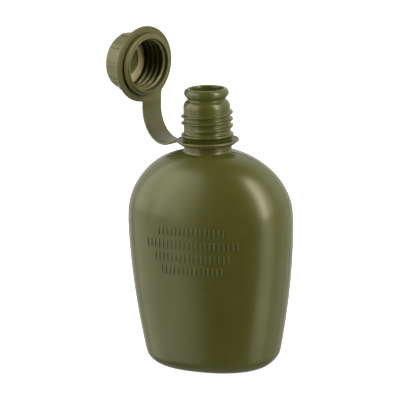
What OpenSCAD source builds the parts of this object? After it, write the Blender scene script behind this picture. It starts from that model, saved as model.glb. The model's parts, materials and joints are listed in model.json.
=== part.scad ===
// One-quart plastic canteen with a screw cap held by a flexible moulded strap.
// The neck axis is +Z, the origin is the centre of the base, the front faces -Y,
// and the strap carries the open cap out to the -X side, a little to the back.

/* [Bottle] */
// Height of the mouth rim above the base
mouth_h = 200; // [190:1:210]
// Width at the widest level
belly_w = 120; // [116:0.5:125]
// Depth at the deepest level
belly_d = 76.5; // [72:0.5:80]
// Height of the widest level
belly_z = 106; // [102:1:110]
// Width of the sides carried down to the floor, before the base is rounded
base_w = 94; // [88:1:100]
// Depth of the front and back carried down to the floor
base_d = 67; // [62:1:70]
// Radius of the rounded base edge at the two ends
base_round_w = 9.5; // [6:0.5:12]
// Radius of the rounded base edge at the front and back
base_round_d = 9.5; // [6:0.5:12]
// How square the plan outline is: 2 is an ellipse
squareness = 2.45; // [2.2:0.05:3]
// How far the plan is bowed, so that the back is hollow and the front bulges
bow = 3.5; // [0:0.5:6]
// Wall thickness
wall = 1.6; // [1.5:0.1:2.5]

/* [Neck] */
// Radius of the plain neck under the collar
neck_r = 17; // [16.5:0.1:17.2]
// Radius of the round mouth bore
mouth_r = 12; // [11:0.1:12.5]
// Radius of the rolled lip
lip_r = 15.7; // [15.5:0.1:16.4]
// Radius at the root of the thread
thread_root_r = 16.5; // [16.4:0.1:16.8]
// Radius at the crest of the thread
thread_crest_r = 18.3; // [18:0.1:18.6]
// Rise of the single-start right-hand thread in one turn
pitch = 4.8; // [4.6:0.1:5.2]
// Turns of thread on the neck
neck_turns = 2.5; // [2:0.1:3]

/* [Cap] */
// Length of the cap along its axis
cap_l = 25.5; // [25:0.1:27]
// Depth from the cap's rim to the face of the seal
seal_depth = 22.8; // [22:0.1:23.4]
// Radius of the grip between its ribs
grip_r = 20.7; // [20.6:0.1:21]
// Radius over the ribs of the grip
rib_r = 21.9; // [21.8:0.1:22.5]
// Number of grip ribs
rib_count = 10; // [8:1:16]
// Thickness of the seal ring
seal_t = 1.2; // [1:0.1:1.4]

/* [Strap] */
// Width of the strap
strap_w = 18.5; // [16:0.5:20]
// Thickness of the strap and its rings
strap_t = 2; // [1.6:0.1:2.2]
// Radius that the strap is moulded to
strap_bend_r = 24.5; // [24:0.1:25]
// Outer radius of the ring around the cap
ring_r = 27.5; // [26.5:0.5:28]
// How far the strap has drifted sideways where it meets the cap's ring
strap_drift = 8; // [0:1:9]
// How far the collar is turned round the neck, clockwise from above
strap_turn = 22.5; // [0:0.5:90]

/* [Hidden] */
olive = "#5f6134";
tan_seal = "#b8a888";
fine = 96;

// Body outline: the taper and shoulder are power curves of the height
shoulder_z = 155.3;
neck_root_r = 16.9;
side_taper = 1.8;
front_taper = 3;
side_shoulder = [2.2, 1.65];
front_shoulder = [1.9, 1.4];
plan_steps = 44;

function taper(low, high, power, z) = low + (high - low) * (1 - pow(1 - z / belly_z, power));
function shoulder(high, curve, t) =
    neck_root_r + (high - neck_root_r) * pow(max(0, 1 - pow(t, curve[0])), 1 / curve[1]);
function rise(z) = max(0, (z - belly_z) / (shoulder_z - belly_z));
function base_cut(r, z) = z < r ? r - sqrt(r * r - (r - z) * (r - z)) : 0;
function half_w(z) = z <= belly_z
    ? taper(base_w / 2, belly_w / 2, side_taper, z) - base_cut(base_round_w, z)
    : shoulder(belly_w / 2, side_shoulder, rise(z));
function half_d(z) = z <= belly_z
    ? taper(base_d / 2, belly_d / 2, front_taper, z) - base_cut(base_round_d, z)
    : shoulder(belly_d / 2, front_shoulder, rise(z));
function plan_power(z) = 2 + (squareness - 2) * (1 - pow(rise(z), 2));
function plan_bow(z) = bow * (1 - pow(rise(z), 2));
function signed_pow(v, p) = sign(v) * pow(abs(v), p);
function plan_point(z, u) =
    let (x = signed_pow(cos(u), 2 / plan_power(z)), y = signed_pow(sin(u), 2 / plan_power(z)))
    [x, y];

// Heights of the outline's levels: close together where the surface turns
levels = concat([for (i = [0:5]) base_round_w * (1 - cos(i * 15))],
                [for (i = [1:8]) base_round_w + (belly_z - base_round_w) * i / 9],
                [for (i = [0:15]) belly_z + (shoulder_z - belly_z) * sin(i * 6)]);

// A closed skin of the body, moved inward by inset
module body_skin(inset) {
    top = len(levels) - 1;
    points = [for (z = levels) let (t = rise(z), lean = inset * cos(90 * pow(t, 3)))
              for (i = [0:plan_steps - 1]) let (p = plan_point(z, 360 * i / plan_steps))
              [(half_w(z) - lean) * p[0],
               (half_d(z) - lean) * p[1] + plan_bow(z) * (pow(p[0], 2) - 0.5),
               z > belly_z ? z - inset * sin(90 * pow(t, 3))
                           : inset + z * (belly_z - inset) / belly_z]];
    sides = [for (k = [0:top - 1], i = [0:plan_steps - 1]) let (j = (i + 1) % plan_steps)
             [k * plan_steps + i, (k + 1) * plan_steps + i,
              (k + 1) * plan_steps + j, k * plan_steps + j]];
    floor_face = [for (i = [0:plan_steps - 1]) i];
    roof_face = [for (i = [plan_steps - 1:-1:0]) top * plan_steps + i];
    polyhedron(points, concat(sides, [floor_face], [roof_face]), convexity = 4);
}

// Neck profile: plain neck, transfer bead, thread root, bulge, waist and rolled lip
bead_r = 18.5;
bead_z = 167.3;
bead_half_t = 1;
bulge_z = 186.6;
waist_r = 13.4;
waist_z = 192;
lip_z = 196.8;
mouth_edge = 0.9;
neck_bore_r = 14.4;

function arc(cx, cy, rx, ry, a0, a1, n) =
    [for (i = [0:n]) let (a = a0 + (a1 - a0) * i / n) [cx + rx * cos(a), cy + ry * sin(a)]];
neck_foot_z = shoulder_z - 3.3;
neck_outline = concat(
    [[neck_bore_r, neck_foot_z], [neck_r, neck_foot_z], [neck_r, bead_z - bead_half_t - 0.2]],
    arc(bead_r - bead_half_t, bead_z, bead_half_t, bead_half_t, -90, 90, 8),
    [[thread_root_r, bead_z + bead_half_t + 0.6]],
    arc(waist_r - 1, bulge_z, thread_root_r - waist_r + 1, waist_z - bulge_z, 0, 75, 6),
    arc(mouth_r + mouth_edge, lip_z, lip_r - mouth_r - mouth_edge, mouth_h - lip_z, -50, 90, 10),
    arc(mouth_r + mouth_edge, mouth_h - 1.6, mouth_edge, 1.6, 90, 180, 4),
    [[mouth_r, bulge_z + 2], [neck_bore_r, bulge_z - 2]]);

// A trapezoid ridge wound along a helix, fading out over its first and last steps
module helix_ridge(root, crest, root_t, crest_t, z0, a0, turns, step = 10) {
    n = floor(turns * 360 / step);
    fade_steps = 4;
    points = [for (i = [0:n]) let (a = a0 + i * step, z = z0 + pitch * i * step / 360,
                                   f = min(1, (min(i, n - i) + 0.4) / fade_steps),
                                   tip = root + (crest - root) * f)
              for (q = [[root, -root_t], [tip, -crest_t], [tip, crest_t], [root, root_t]])
              [q[0] * cos(a), q[0] * sin(a), z + q[1] / 2]];
    flip = crest > root;
    sides = [for (i = [0:n - 1], k = [0:3]) let (m = (k + 1) % 4)
             flip ? [4 * i + k, 4 * i + m, 4 * i + 4 + m, 4 * i + 4 + k]
                  : [4 * i + k, 4 * i + 4 + k, 4 * i + 4 + m, 4 * i + m]];
    ends = flip ? [[3, 2, 1, 0], [4 * n, 4 * n + 1, 4 * n + 2, 4 * n + 3]]
                : [[0, 1, 2, 3], [4 * n + 3, 4 * n + 2, 4 * n + 1, 4 * n]];
    polyhedron(points, concat(sides, ends), convexity = 6);
}

thread_z = 171.6;
thread_a = -110;
module bottle() color(olive) {
    difference() {
        union() {
            body_skin(0);
            rotate_extrude($fn = fine) polygon(neck_outline);
            helix_ridge(thread_root_r - 0.4, thread_crest_r, 2.6, 0.9, thread_z, thread_a, neck_turns);
        }
        body_skin(wall);
        translate([0, 0, neck_foot_z - 2])
            cylinder(r = neck_bore_r, h = bulge_z - neck_foot_z, $fn = fine);
    }
}

// Seated cap: its rim stands at this height, and its ring is gripped in the groove
seat_gap = 0.05;
seated_z = mouth_h - seal_depth + seat_gap;
rim_r = 20.3;
lip_out_r = 22.5;
groove_r = 20.4;
groove = [4.2, 6.8];
ring_mid = (groove[0] + groove[1]) / 2;
cap_bore_r = 19;
cap_thread_r = 17.3;
cap_thread_from = 2.4;
cap_thread_turns = 3;
rib_w = 2.4;
rib_phase = 20;

// Strap: an arc cut by hinge lines, so that it can bend. Places along it are in degrees.
strap_arc = 116;
start_slope = -23;
end_slope = start_slope + strap_arc;
hinge_at = [0, 20, 44, 69, 88, strap_arc];
link_count = len(hinge_at) - 1;
hinge_r = 28.5;
knuckle_gap = 1.3;

// Extra bend at each hinge when the cap is screwed on. The closed strap's end lands
// on the edge of the ring, which sets the ring's arm and the height of the hinges.
closed_bend = [0, 40, 0, 47, 0, 0];
function total(v, last) = last < 0 ? 0 : v[last] + total(v, last - 1);
function chord(k) = 2 * strap_bend_r * sin((hinge_at[k + 1] - hinge_at[k]) / 2);
function closed_slope(k) =
    start_slope + (hinge_at[k] + hinge_at[k + 1]) / 2 + total(closed_bend, k);
closed_run = [for (k = [0:link_count - 1]) chord(k) * cos(closed_slope(k))];
closed_rise = [for (k = [0:link_count - 1]) chord(k) * sin(closed_slope(k))];
ring_arm = hinge_r + total(closed_run, link_count - 1);
hinge_z = seated_z + ring_mid - total(closed_rise, link_count - 1);

// A point of the strap, phi degrees along its arc and off millimetres to its inner side
function strap_point(phi, off = 0) =
    [-(hinge_r - strap_bend_r * sin(start_slope) + (strap_bend_r - off) * sin(start_slope + phi)),
     hinge_z + strap_bend_r * cos(start_slope) - (strap_bend_r - off) * cos(start_slope + phi)];
function along(mm) = mm / strap_bend_r * 180 / PI;
tip = strap_point(strap_arc);
ring_at = [tip[0] - ring_arm * cos(end_slope), tip[1] + ring_arm * sin(end_slope)];

// Places its children, drawn in the XZ plane, across the strap's width
module across(y = 0) {
    translate([0, y + strap_w / 2, 0]) rotate([90, 0, 0]) linear_extrude(strap_w) children();
}

// The strap's own profile between two places along it
module strap_band(from, to, steps = 8) {
    way = [for (i = [0:steps]) from + (to - from) * i / steps];
    polygon(concat([for (phi = way) strap_point(phi, strap_t / 2)],
                   [for (i = [steps:-1:0]) strap_point(way[i], -strap_t / 2)]));
}

collar_bore_r = 17.5;
collar_rim_r = 22.2;
collar_rim_z = 163.9;
collar_foot_z = 160.3;
module tether_collar() color(olive) {
    stub = 9;
    difference() {
        union() {
            rotate_extrude($fn = fine) polygon([
                [collar_bore_r, collar_foot_z], [collar_bore_r + 1.6, collar_foot_z],
                [collar_rim_r, collar_rim_z - 1.2], [collar_rim_r, collar_rim_z - 0.4],
                [collar_rim_r - 0.4, collar_rim_z], [collar_rim_r - 1.2, collar_rim_z],
                [collar_bore_r + 1.2, collar_foot_z + 2.2], [collar_bore_r, collar_foot_z + 2.2]]);
            across() translate(strap_point(0)) rotate(-start_slope)
                translate([knuckle_gap, -strap_t / 2]) square([stub, strap_t]);
        }
        translate([0, 0, collar_foot_z - strap_w / 2]) cylinder(r = collar_bore_r, h = strap_w, $fn = fine);
        rotate_extrude($fn = fine) polygon([
            [0, collar_foot_z + 2.2], [collar_bore_r + 1.2, collar_foot_z + 2.2],
            [collar_rim_r - 1.2, collar_rim_z], [collar_rim_r - 1.2, collar_rim_z + 5],
            [0, collar_rim_z + 5]]);
    }
}

// One stretch of the strap: a round knuckle on its first hinge line, cut short of the next
module strap_link(n) color(olive) {
    from = hinge_at[n - 1];
    to = hinge_at[n];
    across(strap_drift * (from + to) / 2 / strap_arc) {
        translate(strap_point(from)) circle(r = strap_t / 2, $fn = 24);
        strap_band(from, to - along(knuckle_gap));
    }
}

// Carries the cap's own frame, rim at the origin and top along +Z, to the open position
module open_cap() {
    translate([ring_at[0], 0, ring_at[1]]) rotate([0, end_slope - 180, 0])
        translate([0, 0, -ring_mid]) children();
}

module tether_ring() color(olive) {
    ring_bore_r = 21;
    stub_in = 8.6;
    open_cap() difference() {
        union() {
            translate([0, 0, ring_mid - strap_t / 2]) cylinder(r = ring_r, h = strap_t, $fn = fine);
            translate([-ring_arm, strap_drift - strap_w / 2, ring_mid - strap_t / 2])
                cube([stub_in, strap_w, strap_t]);
            translate([-ring_arm, strap_drift + strap_w / 2, ring_mid]) rotate([90, 0, 0])
                cylinder(r = strap_t / 2, h = strap_w, $fn = 24);
        }
        translate([0, 0, -1]) cylinder(r = ring_bore_r, h = 20, $fn = fine);
    }
}

module cap_ribs() {
    intersection() {
        for (i = [0:rib_count - 1]) rotate(rib_phase + 360 * i / rib_count)
            translate([grip_r - 1, -rib_w / 2, 0]) cube([5, rib_w, cap_l]);
        rotate_extrude($fn = fine) polygon([
            [0, groove[1]], [rib_r - 0.5, groove[1]], [rib_r, groove[1] + 0.5],
            [rib_r, cap_l - 4], [grip_r, cap_l - 2], [0, cap_l - 2]]);
    }
}

cap_outline = concat(
    [[cap_bore_r, 0.4], [cap_bore_r + 0.4, 0], [rim_r - 0.2, 0], [rim_r, 0.2], [rim_r, 1.1],
     [rim_r + 0.9, 1.3]],
    arc(lip_out_r - 1.2, 2.6, 1.2, 1.3, -80, 70, 8),
    [[groove_r, groove[0]], [groove_r, groove[1]], [grip_r, groove[1]]],
    arc(grip_r - 2.6, cap_l - 2.6, 2.6, 2.6, 0, 90, 6),
    [[0, cap_l], [0, seal_depth + seal_t], [cap_bore_r, seal_depth + seal_t]]);

module screw_cap() color(olive) {
    open_cap() union() {
        rotate_extrude($fn = fine) polygon(cap_outline);
        cap_ribs();
        helix_ridge(cap_bore_r + 0.5, cap_thread_r, 2.1, 0.8, cap_thread_from,
                    thread_a + strap_turn
                    + 360 * (cap_thread_from + seated_z - pitch / 2 - thread_z) / pitch,
                    cap_thread_turns);
    }
}

module cap_seal() color(tan_seal) {
    seal_in_r = 11.5;
    seal_out_r = 18.2;
    open_cap() translate([0, 0, seal_depth]) difference() {
        cylinder(r = seal_out_r, h = seal_t, $fn = fine);
        translate([0, 0, -1]) cylinder(r = seal_in_r, h = seal_t + 2, $fn = fine);
    }
}

// Carries the tether and cap, drawn in the XZ plane, to where the collar is turned
module turned() {
    rotate([0, 0, -strap_turn]) children();
}

bottle();
turned() tether_collar();
for (n = [1:link_count]) turned() strap_link(n);
turned() tether_ring();
turned() screw_cap();
turned() cap_seal();
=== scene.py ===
"""A one-quart plastic canteen: the looks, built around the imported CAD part.

Shapes are worked out in millimetres and become metres when their mesh is made.
"""
import json
import math

import bpy
import numpy as np
from mathutils import Matrix, Vector


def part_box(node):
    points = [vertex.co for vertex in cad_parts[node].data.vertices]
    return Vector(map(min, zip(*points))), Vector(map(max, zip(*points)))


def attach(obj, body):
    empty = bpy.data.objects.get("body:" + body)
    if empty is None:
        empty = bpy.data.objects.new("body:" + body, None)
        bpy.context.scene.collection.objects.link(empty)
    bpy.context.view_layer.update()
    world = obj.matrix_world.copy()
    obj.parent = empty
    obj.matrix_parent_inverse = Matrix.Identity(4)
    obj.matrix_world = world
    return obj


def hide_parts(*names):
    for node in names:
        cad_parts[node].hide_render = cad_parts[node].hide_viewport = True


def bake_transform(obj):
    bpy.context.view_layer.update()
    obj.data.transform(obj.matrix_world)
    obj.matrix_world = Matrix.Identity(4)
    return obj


MM = 0.001
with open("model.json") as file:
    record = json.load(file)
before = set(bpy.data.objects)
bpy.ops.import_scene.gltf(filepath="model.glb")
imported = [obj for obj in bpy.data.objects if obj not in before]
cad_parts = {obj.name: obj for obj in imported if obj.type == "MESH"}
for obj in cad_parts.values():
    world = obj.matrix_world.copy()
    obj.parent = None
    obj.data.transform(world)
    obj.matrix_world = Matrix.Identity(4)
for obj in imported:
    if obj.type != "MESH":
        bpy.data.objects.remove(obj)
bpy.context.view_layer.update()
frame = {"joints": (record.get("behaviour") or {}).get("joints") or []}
joints = {j["name"]: j for j in frame["joints"]}


def joint_point(name):
    """A joint's point in millimetres."""
    return np.array(joints[name]["pos_m"]) / MM


# ---------------------------------------------------------------- mesh helpers
def tube_faces(rows, columns):
    """Quads between neighbouring rings of points, each ring joined end to start."""
    faces = []
    for i in range(rows - 1):
        low, high = i * columns, (i + 1) * columns
        for j in range(columns):
            k = (j + 1) % columns
            faces.append((low + j, low + k, high + k, high + j))
    return faces


def looped_faces(rows, columns):
    """A tube's faces, with its last ring joined back to its first."""
    last = (rows - 1) * columns
    join = [(last + j, last + (j + 1) % columns, (j + 1) % columns, j) for j in range(columns)]
    return tube_faces(rows, columns) + join


def capped_faces(rows, columns):
    """A tube's faces, with a polygon over its first ring and one over its last."""
    last = (rows - 1) * columns
    ends = [tuple(range(columns - 1, -1, -1)), tuple(range(last, last + columns))]
    return tube_faces(rows, columns) + ends


def signed_volume(points, faces):
    """The volume inside closed faces, negative when they face inwards."""
    corners = np.array([(f[0], f[i], f[i + 1]) for f in faces for i in range(1, len(f) - 1)])
    a, b, c = (points[corners[:, k]] for k in range(3))
    return float(np.einsum("ij,ij->", a, np.cross(b, c))) / 6


def add_object(name, data):
    added = bpy.data.objects.new(name, data)
    bpy.context.scene.collection.objects.link(added)
    return added


def make_piece(name, points, faces, material, sharp_degrees):
    """An object from points in millimetres, smooth except where faces meet at more than
    sharp_degrees."""
    points = np.asarray(points)
    if signed_volume(points, faces) < 0:
        faces = [tuple(reversed(f)) for f in faces]
    mesh = bpy.data.meshes.new(name)
    mesh.from_pydata((points * MM).tolist(), [], faces)
    mesh.validate()
    mesh.materials.append(material)
    mesh.shade_smooth()
    mesh.set_sharp_from_angle(angle=math.radians(sharp_degrees))
    return add_object(name, mesh)


def smooth(t):
    """A share from 0 to 1, eased at both ends."""
    return t * t * (3 - 2 * t)


def around(count):
    """Angles evenly round a circle."""
    return np.linspace(0, 2 * math.pi, count, endpoint=False)


def circle(angle, radius, z):
    """Points round the neck's axis; radius and z are one number or one for each angle."""
    height = np.broadcast_to(z, angle.shape)
    return np.column_stack([radius * np.cos(angle), radius * np.sin(angle), height])


def arc(cx, cy, rx, ry, start, end, steps):
    """Points of an elliptical arc, in degrees."""
    angles = np.radians(np.linspace(start, end, steps + 1))
    return [(cx + rx * math.cos(a), cy + ry * math.sin(a)) for a in angles]


def resample(profile, spacing):
    """A profile with points added, so that none stand further apart than spacing."""
    points = [profile[0]]
    for a, b in zip(profile, profile[1:]):
        count = max(1, math.ceil(math.dist(a, b) / spacing))
        points += [(a[0] + (b[0] - a[0]) * i / count, a[1] + (b[1] - a[1]) * i / count)
                   for i in range(1, count + 1)]
    return points


# ---------------------------------------------------------------- the bottle's body
SEAM_H = 0.22
SEAM_HALF_W = 0.42
SEAM_OFFSETS = (0.25, 0.5, 0.8, 1.3)
SEAM_CLEAR = 0.6
SEAM_TOP_SHARE = 0.4
BAR_H = 0.45
BOW = 3.5
MOUTH_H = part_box("bottle")[1].z / MM
BELLY_HALF_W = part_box("bottle")[1].x / MM - SEAM_H
BELLY_HALF_D = -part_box("bottle")[0].y / MM - BOW / 2 - BAR_H
BELLY_Z = 106
FOOT_HALF_W = 47
FOOT_HALF_D = 33.5
FOOT_ROUND = 9.5
SHOULDER_Z = 155.3
SHOULDER_R = 16.9
SIDE_TAPER = 1.8
FRONT_TAPER = 3
SIDE_SHOULDER = (2.2, 1.65)
FRONT_SHOULDER = (1.9, 1.4)
SQUARENESS = 2.45
WALL = 1.6
NECK_R = 17
NECK_FILLET = 1.6
PUSH_UP = 1.1
PUSH_UP_EDGE = 0.95
PUSH_UP_POWER = 4
PUSH_UP_SHARES = (0.02, 0.25, 0.5, 0.7, 0.8, 0.86, 0.9, 0.94, 0.97)
INNER_LEVELS = (90, 70, 50, 30, 16, 9.5, 6, 4)
INNER_FLOOR_Z = 2.7
INNER_FLOOR_SHARES = (0.93, 0.5, 0.02)
INNER_NECK_SPREAD = 0.03
# How finely the surfaces are divided
COLUMN_COUNT = 216
OUTLINE_SAMPLES = 40001
SPREAD_SAMPLES = 400
FOOT_STEPS = 15
SIDE_STEPS = 30
SHOULDER_STEPS = 44
SHOULDER_PACKING = 1.15
FILLET_STEPS = 6
INNER_SHOULDER_STEPS = 18
BODY_SHARP = 65


def plan_power(rise):
    """The power of the body's superellipse outline: 2 is an ellipse, and more is squarer."""
    return 2 + (SQUARENESS - 2) * (1 - rise**2)


def plan(angle, power):
    """A superellipse's unit outline."""
    c, s = np.cos(angle), np.sin(angle)
    return np.sign(c) * np.abs(c) ** (2 / power), np.sign(s) * np.abs(s) ** (2 / power)


def body_ring(angle, half_w, half_d, z, rise):
    """Points of the outline at one level; rise is 0 below the shoulder and 1 at its top."""
    px, py = plan(angle, plan_power(rise))
    y = half_d * py + BOW * (1 - rise**2) * (px**2 - 0.5)
    return np.column_stack([half_w * px, y, np.broadcast_to(z, px.shape)])


def taper(low, high, power, z):
    """A half size that grows from low at the foot to high at the belly."""
    return low + (high - low) * (1 - (1 - z / BELLY_Z) ** power)


def foot_cut(z):
    """How far the foot's rounding pulls the side in at one level."""
    if z >= FOOT_ROUND:
        return 0
    return FOOT_ROUND - math.sqrt(FOOT_ROUND**2 - (FOOT_ROUND - z) ** 2)


def lower_halves(z):
    """Half the width and half the depth at a level between the foot and the belly."""
    half_w = taper(FOOT_HALF_W, BELLY_HALF_W, SIDE_TAPER, z) - foot_cut(z)
    half_d = taper(FOOT_HALF_D, BELLY_HALF_D, FRONT_TAPER, z) - foot_cut(z)
    return half_w, half_d


def lower_ring(angle, z, inset=0):
    """The outline at a level between the foot and the belly."""
    half_w, half_d = lower_halves(z)
    return body_ring(angle, half_w - inset, half_d - inset, z, 0)


def shoulder_ring(angle, spread, inset=0):
    """The outline on the shoulder; spread runs from 1 at the belly to 0 at the neck."""
    spread = np.asarray(spread, float)
    rise = (1 - spread ** SIDE_SHOULDER[1]) ** (1 / SIDE_SHOULDER[0])
    front = np.maximum(0, 1 - rise ** FRONT_SHOULDER[0]) ** (1 / FRONT_SHOULDER[1])
    half_w = SHOULDER_R + (BELLY_HALF_W - SHOULDER_R) * spread - inset
    half_d = SHOULDER_R + (BELLY_HALF_D - SHOULDER_R) * front - inset
    z = BELLY_Z + (SHOULDER_Z - BELLY_Z) * rise - inset * rise**2
    return body_ring(angle, half_w, half_d, z, rise)


def seam_columns():
    """Plan angles evenly round the belly, with close columns beside the two parting lines,
    and each column's height on the parting ridge, from 0 to 1."""
    dense = np.linspace(0, 2 * math.pi, OUTLINE_SAMPLES)
    points = lower_ring(dense, BELLY_Z)
    travel = np.concatenate([[0], np.cumsum(np.linalg.norm(np.diff(points, axis=0), axis=1))])
    total = travel[-1]
    keep_clear = SEAM_OFFSETS[-1] + SEAM_CLEAR
    places = [p for p in np.linspace(0, total, COLUMN_COUNT, endpoint=False)
              if min(p, abs(p - total / 2), total - p) > keep_clear]
    for seam in (0, total / 2):
        places += [(seam + side * d) % total for d in SEAM_OFFSETS for side in (-1, 1)]
        places.append(seam)
    places = np.sort(np.array(places))
    off = np.minimum(np.minimum(places, total - places), np.abs(places - total / 2))
    return np.interp(places, travel, dense), np.exp(-((off / SEAM_HALF_W) ** 2))


def shoulder_rings(angle):
    """Rings from the belly up to the neck, ending in a small fillet against the neck."""
    table = np.linspace(0, 1, SPREAD_SAMPLES)
    flat = [shoulder_ring(angle, np.full(angle.shape, q))[:, :2] for q in table]
    radii = np.array([np.hypot(*points.T) for points in flat])
    columns = range(len(angle))
    meet = np.array([np.interp(NECK_R, radii[:, i], table) for i in columns])
    start = np.array([np.interp(NECK_R + NECK_FILLET, radii[:, i], table) for i in columns])
    inward = 1 - np.linspace(0, 1, SHOULDER_STEPS)[1:] ** SHOULDER_PACKING
    rings = [shoulder_ring(angle, start + (1 - start) * f) for f in inward]
    low, corner = rings[-1], shoulder_ring(angle, meet)
    top = circle(angle, NECK_R, corner[:, 2] + NECK_FILLET)
    for t in np.linspace(0, 1, FILLET_STEPS)[1:]:
        rings.append((1 - t) ** 2 * low + 2 * t * (1 - t) * corner + t**2 * top)
    return rings


def foot_rings(angle):
    """The underside, from near its centre out to the standing edge: a shallow push-up."""
    edge = lower_ring(angle, 0)
    rings = []
    for share in PUSH_UP_SHARES:
        hollow = PUSH_UP * max(0, 1 - (share / PUSH_UP_EDGE) ** PUSH_UP_POWER)
        rings.append(edge * [share, share, 0] + [0, 0, hollow])
    return rings


def inner_rings(angle):
    """The inside of the body, from the neck down to the floor."""
    rings = [shoulder_ring(angle, np.full(angle.shape, q), WALL)
             for q in np.linspace(INNER_NECK_SPREAD, 1, INNER_SHOULDER_STEPS)]
    rings += [lower_ring(angle, z, WALL) for z in INNER_LEVELS]
    floor = lower_ring(angle, INNER_LEVELS[-1], WALL)
    rings += [floor * [share, share, 0] + [0, 0, INNER_FLOOR_Z] for share in INNER_FLOOR_SHARES]
    return rings


# ---------------------------------------------------------------- the neck
THREAD_ROOT_R = 16.5
THREAD_CREST_R = 18.3
THREAD_Z = 171.6
THREAD_START = -110
THREAD_PITCH = 4.8
THREAD_TURNS = 2.5
THREAD_ROOT_HALF = 1.35
THREAD_CREST_HALF = 0.3
THREAD_FADE = 38
BEAD_R = 18.5
BEAD_Z = 167.3
BEAD_ROUND = 1
BULGE_Z = 186.6
WAIST_R = 13.4
WAIST_Z = 192
LIP_R = 15.7
LIP_Z = 196.8
MOUTH_R = 12
MOUTH_EDGE = 0.9
MOUTH_EDGE_H = 1.6
BORE_R = 14.4
NECK_RING_SPACING = 0.24
NECK_INSIDE_SPACING = 2.5
# A neck ring of a radius above this is on the outside
OUTSIDE_R = BORE_R + 0.5
NECK_SEAM_H = 0.1


def ridge_height(offset, root_half, crest_half):
    """A thread ridge's rounded trapezoid section, from 1 on its crest to 0 at its root."""
    return smooth(np.clip((root_half - np.abs(offset)) / (root_half - crest_half), 0, 1))


def thread_height(angle, z, start_z, start, turns, root_half, crest_half, fade):
    """A right-hand thread's height, from 0 to 1, at angles in degrees on one level. Each end
    fades out over as many degrees as fade says."""
    height = np.zeros(np.shape(angle))
    for turn in range(-1, math.ceil(turns) + 1):
        along = (angle - start) % 360 + 360 * turn
        ends = smooth(np.clip(np.minimum(along, 360 * turns - along) / fade, 0, 1))
        offset = z - (start_z + THREAD_PITCH * along / 360)
        height = np.maximum(height, ends * ridge_height(offset, root_half, crest_half))
    return height


def neck_profile():
    """The neck's section from above the shoulder, over the lip and down inside."""
    edge_r = MOUTH_R + MOUTH_EDGE
    plain = [(NECK_R, SHOULDER_Z + 3), (NECK_R, BEAD_Z - 1.5)]
    bead = arc(BEAD_R - BEAD_ROUND, BEAD_Z, BEAD_ROUND, BEAD_ROUND, -78, 78, 12)
    root = [(THREAD_ROOT_R + 0.25, BEAD_Z + 1.3), (THREAD_ROOT_R, BEAD_Z + 1.8)]
    thread = resample([root[-1], (THREAD_ROOT_R, BULGE_Z)], NECK_RING_SPACING)[1:]
    bulge = arc(WAIST_R - 1, BULGE_Z, THREAD_ROOT_R - WAIST_R + 1, WAIST_Z - BULGE_Z, 8, 70, 12)
    waist = [(WAIST_R - 0.02, WAIST_Z + 0.25), (WAIST_R + 0.35, WAIST_Z + 1.1),
             (LIP_R - 1.05, LIP_Z - 2.35)]
    lip = arc(edge_r, LIP_Z, LIP_R - MOUTH_R - MOUTH_EDGE, MOUTH_H - LIP_Z, -38, 84, 18)
    edge = arc(edge_r, MOUTH_H - MOUTH_EDGE_H, MOUTH_EDGE, MOUTH_EDGE_H, 80, 180, 8)
    inside = resample([(MOUTH_R, MOUTH_H - 4), (MOUTH_R, BULGE_Z + 2), (BORE_R, BULGE_Z - 2),
                       (BORE_R, SHOULDER_Z - WALL)], NECK_INSIDE_SPACING)
    return plain + bead + root + thread + bulge + waist + lip + edge + inside


def neck_rings(angle, seam):
    """The neck's rings, with the thread and the parting lines on the outside."""
    degrees = np.degrees(angle)
    rings = []
    for r, z in neck_profile():
        radius = np.full(angle.shape, float(r))
        if BEAD_Z + 1 < z < BULGE_Z + 2 and r > OUTSIDE_R:
            height = thread_height(degrees, z, THREAD_Z, THREAD_START, THREAD_TURNS,
                                   THREAD_ROOT_HALF, THREAD_CREST_HALF, THREAD_FADE)
            radius += height * (THREAD_CREST_R - THREAD_ROOT_R)
        if r > OUTSIDE_R and z < WAIST_Z:
            radius += NECK_SEAM_H * seam
        rings.append(circle(angle, radius, z))
    return rings


def make_bottle(material):
    angle, seam = seam_columns()
    rings = foot_rings(angle)
    turned = np.radians(np.linspace(0, 90, FOOT_STEPS))
    rings += [lower_ring(angle, FOOT_ROUND * (1 - math.cos(a))) for a in turned]
    rings += [lower_ring(angle, z) for z in np.linspace(FOOT_ROUND, BELLY_Z, SIDE_STEPS)[1:]]
    rings += shoulder_rings(angle)
    points = np.array(rings)
    across = np.roll(points, -1, axis=1) - np.roll(points, 1, axis=1)
    up = np.gradient(points, axis=0)
    normal = np.cross(across, up)
    normal /= np.maximum(np.linalg.norm(normal, axis=2, keepdims=True), 1e-9)
    # The parting ridge fades out round the foot and over the fillet below the neck
    ridge = SEAM_H * seam * np.clip(points[:, :1, 2] / FOOT_ROUND, 0, 1)
    ridge[-FILLET_STEPS:] *= np.linspace(1, SEAM_TOP_SHARE, FILLET_STEPS)[:, None]
    points += normal * ridge[:, :, None]
    rings = list(points) + neck_rings(angle, seam) + inner_rings(angle)
    faces = capped_faces(len(rings), len(angle))
    piece = make_piece("bottle_shell", np.concatenate(rings), faces, material, BODY_SHARP)
    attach(piece, "bottle")
    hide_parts("bottle")


# ---------------------------------------------------------------- plain raised bars on the front
# Each row's height and half its length
BAR_ROWS = ((105.4, 23.5), (95.9, 33), (86.6, 26.5), (77.7, 22))
BAR_STEP = 3.2
BAR_HALF_W = 0.65
BAR_HALF_H = 3.1
# A bar's edge from its foot, sunk in the skin, up to its top, as (inset, height)
BAR_SECTION = ((0, -0.25), (0, 0.4 * BAR_H), (0.1, 0.8 * BAR_H), (0.28, BAR_H))
BAR_SHARP = 80
SLOPE_STEP = 0.1


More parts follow.
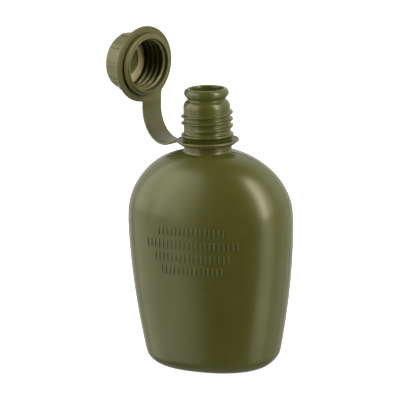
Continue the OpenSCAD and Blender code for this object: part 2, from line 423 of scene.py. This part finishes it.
def front_y(x, z):
    """Where the front face lies at x and z."""
    if z <= BELLY_Z:
        half_w, half_d = lower_halves(z)
        rise = 0
    else:
        rise = (z - BELLY_Z) / (SHOULDER_Z - BELLY_Z)
        share_w = (1 - rise ** SIDE_SHOULDER[0]) ** (1 / SIDE_SHOULDER[1])
        share_d = (1 - rise ** FRONT_SHOULDER[0]) ** (1 / FRONT_SHOULDER[1])
        half_w = SHOULDER_R + (BELLY_HALF_W - SHOULDER_R) * share_w
        half_d = SHOULDER_R + (BELLY_HALF_D - SHOULDER_R) * share_d
    power = plan_power(rise)
    across = abs(x) / half_w
    flat = -half_d * (1 - across**power) ** (1 / power)
    return flat + BOW * (1 - rise**2) * (across**2 - 0.5)


def front_point(x, z):
    """The point of the front face at x and z, and the face's outward normal."""
    d = SLOPE_STEP
    slope_x = (front_y(x + d, z) - front_y(x - d, z)) / (2 * d)
    slope_z = (front_y(x, z + d) - front_y(x, z - d)) / (2 * d)
    normal = np.array([slope_x, -1, slope_z])
    return np.array([x, front_y(x, z), z]), normal / np.linalg.norm(normal)


def bar_outline(inset):
    """A pill shape's outline, standing upright."""
    r = BAR_HALF_W - inset
    straight = BAR_HALF_H - BAR_HALF_W
    return arc(0, straight, r, r, 0, 180, 6) + arc(0, -straight, r, r, 180, 360, 6)


def make_bars(material):
    local = capped_faces(len(BAR_SECTION), len(bar_outline(0)))
    points, faces = [], []
    for row_z, half_length in BAR_ROWS:
        count = round(2 * half_length / BAR_STEP)
        for x in (np.arange(count + 1) - count / 2) * BAR_STEP:
            faces += [tuple(len(points) + i for i in face) for face in local]
            for inset, height in BAR_SECTION:
                for a, b in bar_outline(inset):
                    place, normal = front_point(x + a, row_z + b)
                    points.append(place + normal * height)
    piece = make_piece("front_bars", points, faces, material, BAR_SHARP)
    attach(piece, "bottle")


# ---------------------------------------------------------------- the strap
STRAP_HALF_W = 9.25
STRAP_HALF_T = 1
STRAP_R = 24.5
STRAP_START = -23
STRAP_END = 93
STRAP_DRIFT = 8
STRAP_SHARP = 40
STRETCH_RINGS = 21
FACE_COLUMNS = 12
HINGE_JOINTS = ("strap_lift", "strap_swing", "lift_follow_2", "cap_tip", "lift_follow_4",
                "lift_follow_ring")
# The rounding of an edge, as (inset, height over half the thickness)
EDGE_SECTION = ((0.75, 1.0), (0.42, 0.93), (0.15, 0.7), (0.02, 0.35),
                (0.02, -0.35), (0.15, -0.7), (0.42, -0.93), (0.75, -1.0))
EDGE_R = 0.75
# Where the strap meets the ring's root, from the ring's centre
RING_SEAM = 27.6
# Where it meets its own root on the collar, from the first hinge
COLLAR_SEAM = -3.1

first_hinge = joint_point("strap_lift")
hinge_r = float(np.hypot(first_hinge[0], first_hinge[1]))
outward = np.array([first_hinge[0], first_hinge[1], 0]) / hinge_r
sideways = np.cross(outward, [0, 0, 1])
ring_centre = joint_point("cap_turn")
cap_axis = np.array(joints["cap_turn"]["axis"])
# From the ring's centre down towards the strap
strap_way = np.cross(cap_axis, sideways)
if strap_way[2] > 0:
    strap_way = -strap_way


def strap_place(travel):
    """The strap's centre line at travel millimetres past the first hinge: place, direction,
    upper-side normal and sideways drift."""
    start, end = math.radians(STRAP_START), math.radians(STRAP_END)
    arc_length = STRAP_R * math.radians(STRAP_END - STRAP_START)
    on_arc = min(max(travel, 0), arc_length)
    slope = start + on_arc / STRAP_R
    r = hinge_r + STRAP_R * (math.sin(slope) - math.sin(start))
    z = first_hinge[2] + STRAP_R * (math.cos(start) - math.cos(slope))
    direction = outward * math.cos(slope) + np.array([0, 0, math.sin(slope)])
    normal = -outward * math.sin(slope) + np.array([0, 0, math.cos(slope)])
    t = on_arc / arc_length
    drift = STRAP_DRIFT * (t + smooth(t)) / 2
    place = outward * r + np.array([0, 0, z]) + direction * (travel - on_arc)
    return place, direction, normal, drift


def strap_section():
    """The strap's cross-section: a flat band with rounded edges, as (sideways, up)."""
    right = [(STRAP_HALF_W - inset, up * STRAP_HALF_T) for inset, up in EDGE_SECTION]
    left = [(-x, up) for x, up in reversed(right)]
    bottom = np.linspace(right[-1][0], left[0][0], FACE_COLUMNS)[1:-1]
    top = np.linspace(left[-1][0], right[0][0], FACE_COLUMNS)[1:-1]
    return (right + [(x, -STRAP_HALF_T) for x in bottom]
            + left + [(x, STRAP_HALF_T) for x in top])


def strap_ring(travel, hollow_r=None):
    """One cross-section's points. With hollow_r they follow a circle of that radius, so that
    the strap's first end lies in the collar's rim."""
    place, direction, normal, drift = strap_place(travel)
    points = []
    for x, up in strap_section():
        point = place + sideways * (x + drift) + normal * up
        if hollow_r is not None:
            point -= direction * (hollow_r - math.sqrt(hollow_r**2 - x * x))
        points.append(point)
    return points


def make_band(name, travels, material, hollow_r=None):
    """A stretch of strap with a ring at each travel; hollow_r is for its first ring."""
    rings = [strap_ring(t, hollow_r if i == 0 else None) for i, t in enumerate(travels)]
    faces = capped_faces(len(rings), len(rings[0]))
    piece = make_piece(name, np.concatenate(rings), faces, material, STRAP_SHARP)
    return piece


def hinge_travel(name):
    """How far along the strap a hinge lies from the first one."""
    chord = np.linalg.norm(joint_point(name) - first_hinge)
    return 2 * STRAP_R * math.asin(chord / (2 * STRAP_R))


def make_strap(material):
    """One stretch of the curved strap for each hinge, reaching over it and meeting its neighbours
    halfway.
    """
    hinges = [hinge_travel(name) for name in HINGE_JOINTS]
    arm = float(np.linalg.norm(ring_centre - joint_point(HINGE_JOINTS[-1])))
    halfway = [(a + b) / 2 for a, b in zip(hinges, hinges[1:])]
    seams = [COLLAR_SEAM] + halfway + [hinges[-1] + arm - RING_SEAM]
    for i, (name, at) in enumerate(zip(HINGE_JOINTS, hinges)):
        travels = np.linspace(seams[i], seams[i + 1], STRETCH_RINGS)
        piece = make_band(f"strap_{i + 1}", travels, material)
        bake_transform(piece)
        if i + 1 < len(HINGE_JOINTS):
            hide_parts(f"strap_link_{i + 1}")


# ---------------------------------------------------------------- the collar
COLLAR_BORE_R = 17.5
COLLAR_RIM_R = 22.2
COLLAR_RIM_Z = 163.9
COLLAR_FOOT_Z = 160.3
COLLAR_SPACING = 1
COLLAR_COLUMNS = 160
COLLAR_SHARP = 50
TONGUE_START = -7.4
TONGUE_HOLLOW_R = COLLAR_RIM_R - 0.9
TONGUE_RINGS = 9


def collar_profile():
    """The saucer's section, from its bore under the foot, out over the rim and back inside."""
    bore, foot = COLLAR_BORE_R, COLLAR_FOOT_Z
    return (arc(bore + 0.3, foot + 0.3, 0.3, 0.3, 180, 270, 3)
            + [(bore + 1.3, foot), (bore + 1.7, foot + 0.15)]
            + arc(COLLAR_RIM_R - 0.75, COLLAR_RIM_Z - 0.85, 0.75, 0.85, -40, 130, 12)
            + [(bore + 1.5, foot + 2.35), (bore + 1.1, foot + 2.2),
               (bore + 0.4, foot + 2.2), (bore, foot + 1.9)])


def make_collar(material):
    """The saucer round the neck, and the strap's root on it."""
    angle = around(COLLAR_COLUMNS)
    rings = [circle(angle, r, z) for r, z in resample(collar_profile(), COLLAR_SPACING)]
    faces = looped_faces(len(rings), COLLAR_COLUMNS)
    saucer = make_piece("collar_saucer", np.concatenate(rings), faces, material, COLLAR_SHARP)
    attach(saucer, "collar")
    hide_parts("tether_collar")
    travels = np.linspace(TONGUE_START, COLLAR_SEAM, TONGUE_RINGS)
    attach(make_band("collar_tongue", travels, material, TONGUE_HOLLOW_R), "collar")


# ---------------------------------------------------------------- the ring round the cap
RING_R = 27.5
RING_BORE_R = 21
RING_HALF_T = 1
RING_STEPS = 150
BORE_EDGE_SHARE = 0.6
ROOT_FILLET = 4
ROOT_STEPS = 9


def flange_outline():
    """The flange and the strap's root seen along the cap's axis, as (towards the strap, sideways),
    with how the edge's rounding points inward at each point."""
    near, far = STRAP_DRIFT - STRAP_HALF_W, STRAP_DRIFT + STRAP_HALF_W
    centre_v = far + ROOT_FILLET
    centre_u = math.sqrt((RING_R + ROOT_FILLET) ** 2 - centre_v**2)
    meet = math.atan2(centre_v, centre_u)
    outline = []
    for a in np.linspace(meet, 2 * math.pi + math.asin(near / RING_R), RING_STEPS):
        outline.append(((RING_R * math.cos(a), RING_R * math.sin(a)), (-math.cos(a), -math.sin(a))))
    outline.append(((RING_SEAM, near), (0, 1)))
    for v in np.linspace(near + EDGE_R, far - EDGE_R, FACE_COLUMNS):
        outline.append(((RING_SEAM, v), (0, 0)))
    outline.append(((RING_SEAM, far), (0, -1)))
    for a in np.linspace(-math.pi / 2, meet - math.pi, ROOT_STEPS)[:-1]:
        u = centre_u + ROOT_FILLET * math.cos(a)
        v = centre_v + ROOT_FILLET * math.sin(a)
        outline.append(((u, v), (math.cos(a), math.sin(a))))
    return outline


def ring_point(u, v, height):
    """A point in the ring's own frame: towards the strap, sideways, towards the cap's mouth."""
    return ring_centre + strap_way * u + sideways * v + cap_axis * height


def make_flange(material):
    outline = flange_outline()
    points = []
    for (u, v), (iu, iv) in outline:
        for inset, up in EDGE_SECTION:
            points.append(ring_point(u + iu * inset, v + iv * inset, up * RING_HALF_T))
        polar = math.atan2(v, u)
        for inset, up in reversed(EDGE_SECTION):
            r = RING_BORE_R + inset * BORE_EDGE_SHARE
            points.append(ring_point(r * math.cos(polar), r * math.sin(polar), up * RING_HALF_T))
    faces = looped_faces(len(outline), 2 * len(EDGE_SECTION))
    piece = make_piece("cap_flange", points, faces, material, STRAP_SHARP)
    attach(piece, "ring")
    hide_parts("tether_ring")


# ---------------------------------------------------------------- the cap
CAP_L = 25.5
GROOVE = (4.2, 6.8)
GROOVE_R = 20.4
GROOVE_MID = 5.5
GRIP_R = 20.7
TOP_ROUND = 3
CAP_RIM_R = 20.3
CAP_LIP = (21.3, 2.6)
CAP_CENTRE_R = 0.4
CAP_SHARP = 60
RIB_R = 21.9
RIB_COUNT = 10
RIB_PHASE = 20
RIB_HALF_W = 1.2
RIB_SIDE = 0.26
# How far from a rib's edge its close columns stand, and the gap from its middle to the even ones
RIB_EDGE_OFFSETS = (-0.45, -0.2, -0.1, 0, 0.1, 0.2, 0.45)
RIB_GAP = 6
COLUMNS_BETWEEN = 11
CAP_BORE_R = 19
CAP_THREAD_R = 17.3
CAP_THREAD_FROM = 2.4
CAP_THREAD_TURNS = 3.6
CAP_THREAD_ROOT_HALF = 1.1
CAP_THREAD_CREST_HALF = 0.35
CAP_THREAD_FADE = 60
GRIP_SPACING = 0.8
BORE_SPACING = 0.26
SEAL_DEPTH = 22.8
SEAL_T = 1.2
SEAL_INNER_R = 11.5
SEAL_OUTER_R = 18.2
SEAL_EDGE = 0.25
SEAL_GROOVES = (16.1, 13.1)
SEAL_GROOVE_HALF = 0.3
SEAL_GROOVE_DEPTH = 0.12
SEAL_SEAT_GAP = 0.02
SEAL_COLUMNS = 128
SEAL_SHARP = 50
SEATED_Z = MOUTH_H - SEAL_DEPTH + 0.05


def cap_profile():
    """The cap's section as (radius, distance from the rim): from the bore's edge round the
    outside to the top's centre."""
    shoulder = CAP_L - TOP_ROUND
    rim = (arc(CAP_BORE_R + 0.45, 0.4, 0.45, 0.4, 180, 270, 4)
           + arc(CAP_RIM_R - 0.4, 0.4, 0.4, 0.4, 270, 360, 4))
    step = [(CAP_RIM_R, 1.0), (CAP_RIM_R + 0.2, 1.25)]
    lip = arc(*CAP_LIP, 1.2, 1.35, -88, 75, 14)
    groove = [(GROOVE_R + 0.2, GROOVE[0]), (GROOVE_R, GROOVE[0] + 0.2),
              (GROOVE_R, GROOVE[1] - 0.2), (GROOVE_R + 0.1, GROOVE[1])]
    grip = resample([(GRIP_R, GROOVE[1] + 0.1), (GRIP_R, shoulder)], GRIP_SPACING)
    top = arc(GRIP_R - TOP_ROUND, shoulder, TOP_ROUND, TOP_ROUND, 6, 90, 12)
    return rim + step + lip + groove + grip + top + [(14, CAP_L), (8, CAP_L), (CAP_CENTRE_R, CAP_L)]


def cap_inner_profile():
    """The cap's inside, from the seat's centre back out to the rim."""
    seat = SEAL_DEPTH + SEAL_T
    floor = [(CAP_CENTRE_R, seat), (8, seat), (CAP_BORE_R - 0.3, seat), (CAP_BORE_R, seat - 0.4)]
    return floor + resample([(CAP_BORE_R, seat - 0.5), (CAP_BORE_R, 0.5)], BORE_SPACING)


def rib_height(degrees, a):
    """How far a rib stands out at an angle and a distance from the rim, from 0 to 1."""
    spacing = 360 / RIB_COUNT
    turn = np.abs((degrees - RIB_PHASE + spacing / 2) % spacing - spacing / 2)
    off = turn * math.radians(1) * GRIP_R
    side = smooth(np.clip((RIB_HALF_W + 0.12 - off) / RIB_SIDE, 0, 1))
    ends = np.clip((a - GROOVE[1] - 0.1) / 0.4, 0, 1) * np.clip((CAP_L - 2.1 - a) / 1.9, 0, 1)
    return side * ends


def cap_columns():
    """Angles round the cap, with close ones at each rib's two sides."""
    edges = [RIB_HALF_W + d for d in RIB_EDGE_OFFSETS]
    close = [0] + [side * math.degrees(e / GRIP_R) for e in edges for side in (-1, 1)]
    spacing = 360 / RIB_COUNT
    between = np.linspace(RIB_GAP, spacing - RIB_GAP, COLUMNS_BETWEEN)
    angles = []
    for i in range(RIB_COUNT):
        middle = RIB_PHASE + i * spacing
        angles += [middle + c for c in close] + [middle + b for b in between]
    return np.radians(np.sort(np.array(angles) % 360))


def cap_ring(angle, radius, a):
    """Points round the cap's axis at a distance from its rim. Angles start on the strap's side and
    run as they do round the neck when the cap is on it."""
    side_way = np.cross(-cap_axis, strap_way)
    centre = ring_centre + cap_axis * (GROOVE_MID - a)
    return (centre + np.outer(radius * np.cos(angle), strap_way)
            + np.outer(radius * np.sin(angle), side_way))


def cap_thread_start():
    """Where the cap's thread starts, to lie midway between the neck's turns when it is closed."""
    strap_turn = math.degrees(math.atan2(outward[1], outward[0]))
    rise = CAP_THREAD_FROM + SEATED_Z - THREAD_PITCH / 2 - THREAD_Z
    return (THREAD_START - strap_turn + 360 * rise / THREAD_PITCH) % 360


def make_cap(material):
    angle = cap_columns()
    degrees = np.degrees(angle)
    rings = []
    for r, a in cap_profile():
        radius = np.full(angle.shape, float(r))
        if r > GRIP_R - TOP_ROUND:
            radius += rib_height(degrees, a) * max(0, RIB_R - r)
        rings.append(cap_ring(angle, radius, a))
    start = cap_thread_start()
    for r, a in cap_inner_profile():
        radius = np.full(angle.shape, float(r))
        if r > CAP_BORE_R - 0.1:
            height = thread_height(degrees, a, CAP_THREAD_FROM, start, CAP_THREAD_TURNS,
                                   CAP_THREAD_ROOT_HALF, CAP_THREAD_CREST_HALF, CAP_THREAD_FADE)
            radius -= height * (CAP_BORE_R - CAP_THREAD_R)
        rings.append(cap_ring(angle, radius, a))
    faces = looped_faces(len(rings), len(angle))
    piece = make_piece("cap_shell", np.concatenate(rings), faces, material, CAP_SHARP)
    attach(piece, "cap")
    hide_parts("screw_cap")


def seal_profile():
    """The seal's section as (radius, distance from the rim), with two grooves in its face."""
    edge, back = SEAL_EDGE, SEAL_DEPTH + SEAL_T - SEAL_SEAT_GAP
    rounded = SEAL_DEPTH + edge
    outer = arc(SEAL_OUTER_R - edge, rounded, edge, edge, 0, -90, 3)
    inner = arc(SEAL_INNER_R + edge, rounded, edge, edge, 270, 180, 3)
    grooves = []
    for r in SEAL_GROOVES:
        grooves += [(r + SEAL_GROOVE_HALF, SEAL_DEPTH), (r, SEAL_DEPTH + SEAL_GROOVE_DEPTH),
                    (r - SEAL_GROOVE_HALF, SEAL_DEPTH)]
    return outer + grooves + inner + [(SEAL_INNER_R, back), (SEAL_OUTER_R, back)]


def make_seal(material):
    angle = around(SEAL_COLUMNS)
    rings = [cap_ring(angle, np.full(angle.shape, float(r)), a) for r, a in seal_profile()]
    faces = looped_faces(len(rings), SEAL_COLUMNS)
    piece = make_piece("seal_ring", np.concatenate(rings), faces, material, SEAL_SHARP)
    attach(piece, "cap")
    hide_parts("cap_seal")


# ---------------------------------------------------------------- materials
# Dark and light colour, roughness, strength of the fine texture, and how far worn edges pale
PLASTICS = {
    "bottle_plastic": ((0.058, 0.06, 0.0105), (0.068, 0.07, 0.0125), 0.29, 0.3, 0.25),
    "cap_plastic": ((0.09, 0.086, 0.022), (0.1, 0.096, 0.027), 0.33, 0.25, 0.45),
    "strap_plastic": ((0.08, 0.074, 0.022), (0.092, 0.084, 0.026), 0.36, 0.25, 0.35),
}
SEAL_COLOURS = ((0.38, 0.31, 0.13), (0.46, 0.39, 0.19))
SEAL_ROUGHNESS = 0.6
GLOSS_TINT = (1, 1, 0.68, 1)
PLASTIC_IOR = 1.5
WORN_GAIN = 1.9
WORN_LIFT = 0.015
# The noise values, and the sharpness of edges, over which a mix goes from none to all
NOISE_SPAN = (0.3, 0.7)
EDGE_SPAN = (0.52, 0.62)
ROUGHNESS_SPAN = (-0.02, 0.03)
# Noise scale, detail and roughness
MOTTLE = (38, 3, 0.55)
PATCHES = (45, 3, 0.55)
GRAIN = (900, 2, 0.55)
UNEVEN = (45, 1, 0.4)
RUBBER_MOTTLE = (160, 4, 0.55)
GRAIN_DEPTH = 0.00004
UNEVEN_DEPTH = 0.0006
UNEVEN_STRENGTH = 0.25


def new_material(name):
    material = bpy.data.materials.new(name)
    material.use_nodes = True
    nodes = material.node_tree.nodes
    return material, nodes, material.node_tree.links, nodes["Principled BSDF"]


def noise(nodes, links, coords, scale, detail, roughness):
    node = nodes.new("ShaderNodeTexNoise")
    node.inputs["Scale"].default_value = scale
    node.inputs["Detail"].default_value = detail
    node.inputs["Roughness"].default_value = roughness
    links.new(coords.outputs["Object"], node.inputs["Vector"])
    return node.outputs["Fac"]


def ramp(nodes, links, value, span, out):
    """A value mapped from one range to another."""
    node = nodes.new("ShaderNodeMapRange")
    for socket, number in zip(("From Min", "From Max", "To Min", "To Max"), (*span, *out)):
        node.inputs[socket].default_value = number
    links.new(value, node.inputs["Value"])
    return node.outputs["Result"]


def mix_colour(nodes, links, factor, a, b):
    """Colour a, turning into b as the factor goes from 0 to 1; each is a colour or a socket."""
    node = nodes.new("ShaderNodeMix")
    node.data_type = "RGBA"
    links.new(factor, node.inputs["Factor"])
    for socket, value in zip((node.inputs[6], node.inputs[7]), (a, b)):
        if isinstance(value, tuple):
            socket.default_value = (*value, 1)
        else:
            links.new(value, socket)
    return node.outputs[2]


def bump(nodes, links, height, strength, distance):
    node = nodes.new("ShaderNodeBump")
    node.inputs["Strength"].default_value = strength
    node.inputs["Distance"].default_value = distance
    links.new(height, node.inputs["Height"])
    return node


def moulded_plastic(name, dark, light, rough, texture, edge_light):
    """Satin moulded polyethylene: slight mottling, paler worn edges, a fine mould texture and a
    slightly uneven surface."""
    material, nodes, links, shader = new_material(name)
    coords = nodes.new("ShaderNodeTexCoord")
    mottle = ramp(nodes, links, noise(nodes, links, coords, *MOTTLE), NOISE_SPAN, (0, 1))
    colour = mix_colour(nodes, links, mottle, dark, light)
    pointiness = nodes.new("ShaderNodeNewGeometry").outputs["Pointiness"]
    edges = ramp(nodes, links, pointiness, EDGE_SPAN, (0, edge_light))
    worn = tuple(min(1, c * WORN_GAIN + WORN_LIFT) for c in light)
    links.new(mix_colour(nodes, links, edges, colour, worn), shader.inputs["Base Color"])
    span = (rough + ROUGHNESS_SPAN[0], rough + ROUGHNESS_SPAN[1])
    patches = ramp(nodes, links, noise(nodes, links, coords, *PATCHES), NOISE_SPAN, span)
    links.new(patches, shader.inputs["Roughness"])
    shader.inputs["IOR"].default_value = PLASTIC_IOR
    shader.inputs["Specular Tint"].default_value = GLOSS_TINT
    fine = bump(nodes, links, noise(nodes, links, coords, *GRAIN), texture, GRAIN_DEPTH)
    soft = bump(nodes, links, noise(nodes, links, coords, *UNEVEN), UNEVEN_STRENGTH, UNEVEN_DEPTH)
    links.new(soft.outputs["Normal"], fine.inputs["Normal"])
    links.new(fine.outputs["Normal"], shader.inputs["Normal"])
    return material


def seal_rubber():
    material, nodes, links, shader = new_material("tan_rubber")
    coords = nodes.new("ShaderNodeTexCoord")
    mottle = ramp(nodes, links, noise(nodes, links, coords, *RUBBER_MOTTLE), NOISE_SPAN, (0, 1))
    links.new(mix_colour(nodes, links, mottle, *SEAL_COLOURS), shader.inputs["Base Color"])
    shader.inputs["Roughness"].default_value = SEAL_ROUGHNESS
    return material


# ---------------------------------------------------------------- the camera
CAMERA_AZIMUTH = 21.25
CAMERA_ELEVATION = 13.5
CAMERA_ROLL = -1.48
CAMERA_DISTANCE = 1275
CAMERA_AIM = (0, 0, 100)
# How far the camera moves to its right and up, to frame the object as the photograph does
CAMERA_SHIFT = (-6.45, 19.2)
CAMERA_LENS = 161.3
SENSOR_WIDTH = 36
CLIP_END = 20


def camera_axes():
    """The directions from the object back to the camera, to the camera's right, and up."""
    a, e = math.radians(CAMERA_AZIMUTH), math.radians(CAMERA_ELEVATION)
    back = Vector((math.sin(a) * math.cos(e), -math.cos(a) * math.cos(e), math.sin(e)))
    right = Vector((math.cos(a), math.sin(a), 0))
    return back, right, back.cross(right)


def make_camera():
    back, right, up = camera_axes()
    data = bpy.data.cameras.new("camera")
    data.lens = CAMERA_LENS
    data.sensor_width = SENSOR_WIDTH
    data.clip_end = CLIP_END
    camera = add_object("camera", data)
    shift = right * CAMERA_SHIFT[0] + up * CAMERA_SHIFT[1]
    place = Vector(CAMERA_AIM) + back * CAMERA_DISTANCE + shift
    roll = math.radians(CAMERA_ROLL)
    x_way = right * math.cos(roll) + up * math.sin(roll)
    turn = Matrix((x_way, back.cross(x_way), back)).transposed()
    camera.matrix_world = Matrix.Translation(place * MM) @ turn.to_4x4()
    bpy.context.scene.camera = camera


# ---------------------------------------------------------------- light and floor
WHITE = (1, 1, 1, 1)
# The world's glow in front of the object, behind it and below it
WORLD_FRONT = 0.01
WORLD_BACK = 1
WORLD_BELOW = 0.5
# How squarely a ray has to point at the back or down for the glow to start and to be full
BACK_SPAN = (0.3, 0.7)
BELOW_SPAN = (0.45, 0.9)
BACK_RISE = 0.35
PANEL_DISTANCE = 900
PANEL_AIM = (0, 0, 120)
# Name, first and last degrees round from the camera's side, lowest and highest degrees, radiance
PANELS = (
    ("left_panel", -120, -81, -2, 50, 2.8),
    ("left_middle_panel", -80, -60, -2, 50, 3.9),
    ("left_front_panel", -59, -41, -2, 50, 3),
    ("left_low_panel", -120, -64, -40, -4, 1.5),
    ("left_front_low_panel", -63, -41, -40, -4, 1.6),
    ("right_strip", 42, 60, 0, 58, 10),
    ("right_middle_panel", 61, 75, 0, 55, 3),
    ("right_panel", 76, 120, 0, 50, 0.9),
    ("right_low_strip", 40, 72, -40, -3, 2),
    ("right_low_panel", 73, 120, -40, -3, 0.7),
)
FLOOR_R = 3000
FLOOR_COLUMNS = 96
FLOOR_COLOUR = (0.8, 0.8, 0.8, 1)
FLOOR_GLOW = 0.95


def camera_turn(degrees):
    """A horizontal direction, in degrees round from the camera's side, positive to its right."""
    a = math.radians(CAMERA_AZIMUTH + degrees)
    return Vector((math.sin(a), -math.cos(a), 0))


def make_world():
    """White to the camera. What it throws on the object is dark in front, white behind and pale
    from below."""
    world = bpy.data.worlds.new("studio")
    bpy.context.scene.world = world
    world.use_nodes = True
    nodes, links = world.node_tree.nodes, world.node_tree.links
    coords = nodes.new("ShaderNodeTexCoord")

    def glow(direction, span, out):
        """Light that grows over out as a ray turns towards a direction."""
        along = nodes.new("ShaderNodeVectorMath")
        along.operation = "DOT_PRODUCT"
        along.inputs[1].default_value = direction
        links.new(coords.outputs["Generated"], along.inputs[0])
        return ramp(nodes, links, along.outputs["Value"], span, out)

    total = nodes.new("ShaderNodeMath")
    total.operation = "ADD"
    behind = (camera_turn(180) + Vector((0, 0, BACK_RISE))).normalized()
    links.new(glow(behind, BACK_SPAN, (WORLD_FRONT, WORLD_BACK)), total.inputs[0])
    links.new(glow((0, 0, -1), BELOW_SPAN, (0, WORLD_BELOW)), total.inputs[1])
    lit = nodes["Background"]
    lit.inputs["Color"].default_value = WHITE
    links.new(total.outputs["Value"], lit.inputs["Strength"])
    seen = nodes.new("ShaderNodeBackground")
    seen.inputs["Color"].default_value = WHITE
    path = nodes.new("ShaderNodeLightPath")
    mix = nodes.new("ShaderNodeMixShader")
    links.new(path.outputs["Is Camera Ray"], mix.inputs["Fac"])
    links.new(lit.outputs["Background"], mix.inputs[1])
    links.new(seen.outputs["Background"], mix.inputs[2])
    links.new(mix.outputs["Shader"], nodes["World Output"].inputs["Surface"])


def make_panel(name, turn_from, turn_to, low, high, radiance):
    """A flat light that covers a range of directions, seen from the object."""
    rise = math.radians((low + high) / 2)
    level = camera_turn((turn_from + turn_to) / 2)
    out = level * math.cos(rise) + Vector((0, 0, math.sin(rise)))
    reach = 2 * PANEL_DISTANCE * MM
    data = bpy.data.lights.new(name, "AREA")
    data.shape = "RECTANGLE"
    width = reach * math.tan(math.radians(turn_to - turn_from) / 2) * math.cos(rise)
    height = reach * math.tan(math.radians(high - low) / 2)
    data.size, data.size_y = width, height
    data.energy = radiance * math.pi * width * height
    light = add_object(name, data)
    light.location = (Vector(PANEL_AIM) + out * PANEL_DISTANCE) * MM
    light.rotation_euler = out.to_track_quat("Z", "Y").to_euler()


def make_floor():
    """A plain white floor that gives the object no light, reflection or shadow."""
    mesh = bpy.data.meshes.new("floor")
    rim = circle(around(FLOOR_COLUMNS), FLOOR_R, 0)
    mesh.from_pydata((rim * MM).tolist(), [], [tuple(range(FLOOR_COLUMNS))])
    material, _, _, shader = new_material("white_floor")
    shader.inputs["Base Color"].default_value = FLOOR_COLOUR
    shader.inputs["Roughness"].default_value = 1
    shader.inputs["Emission Color"].default_value = WHITE
    shader.inputs["Emission Strength"].default_value = FLOOR_GLOW
    mesh.materials.append(material)
    floor = add_object("floor", mesh)
    floor.visible_diffuse = False
    floor.visible_glossy = False
    floor.visible_shadow = False


# ---------------------------------------------------------------- everything together
def main():
    plastic = {name: moulded_plastic(name, *look) for name, look in PLASTICS.items()}
    make_bottle(plastic["bottle_plastic"])
    make_bars(plastic["bottle_plastic"])
    make_collar(plastic["strap_plastic"])
    make_strap(plastic["strap_plastic"])
    make_flange(plastic["strap_plastic"])
    make_cap(plastic["cap_plastic"])
    make_seal(seal_rubber())
    make_world()
    make_floor()
    for panel in PANELS:
        make_panel(*panel)
    make_camera()
    scene = bpy.context.scene
    scene.view_settings.view_transform = "Standard"
    scene.view_settings.look = "None"


main()
